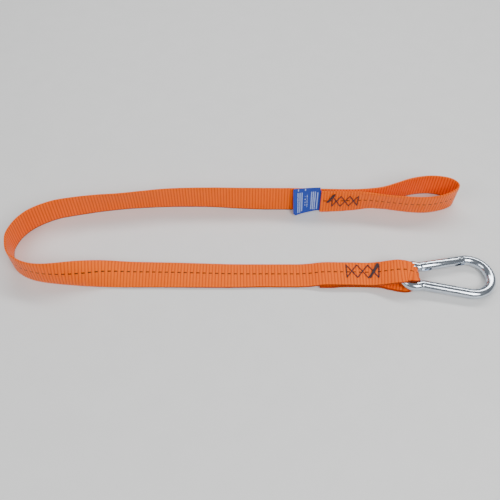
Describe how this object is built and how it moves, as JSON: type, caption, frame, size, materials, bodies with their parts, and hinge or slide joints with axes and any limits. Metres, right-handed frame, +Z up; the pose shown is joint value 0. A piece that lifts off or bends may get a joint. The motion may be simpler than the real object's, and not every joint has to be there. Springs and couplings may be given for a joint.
{
  "type": "flat web sling",
  "caption": "Narrow flat web sling with a stitched hand loop at one end and a spring-gate snap hook in a stitched eye at the other, laid in a long bight.",
  "frame": {"origin": "middle of the sling's footprint, on the surface it lies on", "axes": "+X runs along the sling towards the hook and the hand loop, +Y from the near run to the far run, +Z up"},
  "size_m": [0.4476, 0.1342, 0.0286],
  "materials": {
    "webbing": "ribbed polyester webbing, signal orange with a dark tracer line on one face",
    "thread": "bonded sewing thread",
    "label": null,
    "zinc_steel": "bright zinc plated steel wire",
    "spring_steel": "spring wire"
  },
  "bodies": {
    "web": {"web_run": "webbing"},
    "hook_eye": {"web_hook_eye": "webbing", "hook_seam_needle_thread": "thread", "hook_seam_bobbin_thread": "thread"},
    "hook": {"hook_body": "zinc_steel", "gate_hinge_pin": "zinc_steel"},
    "gate": {"gate": "zinc_steel", "latch_pin": "zinc_steel", "gate_spring": "spring_steel"},
    "plunger": {"gate_plunger": "zinc_steel"},
    "hand_loop": {"web_hand_loop": "webbing", "label": "label", "loop_seam_needle_thread": "thread", "loop_seam_bobbin_thread": "thread"}
  },
  "joints": [
    {"name": "hook_end_flex", "type": "hinge", "parent": "web", "child": "hook_eye", "pos_m": [0.0453, -0.0397, 0.0022], "axis": [0, -1, 0], "range_deg": [0, 60]},
    {"name": "hook_swing", "type": "hinge", "parent": "hook_eye", "child": "hook", "pos_m": [0.1384, -0.0437, 0.0068], "axis": [0, -1, 0], "range_deg": [0, 60]},
    {"name": "gate_hinge", "type": "hinge", "parent": "hook", "child": "gate", "pos_m": [0.16139, -0.03242, 0.00615], "axis": [-0.0284, 0, -0.9996], "range_deg": [0, 26], "stiffness_Nm_per_rad": 0.2, "springref_deg": -17.19},
    {"name": "plunger_slide", "type": "slide", "parent": "gate", "child": "plunger", "axis": [0.9786, 0.204, -0.0278], "range_m": [0, 0.001]},
    {"name": "hand_loop_flex", "type": "hinge", "parent": "web", "child": "hand_loop", "pos_m": [0.0393, 0.0498, 0.0125], "axis": [0, 0, 1], "range_deg": [0, 60]}
  ],
  "couplings": [
    {"joint": "plunger_slide", "follows": "gate_hinge", "m_per_rad": 0.0022}
  ]
}
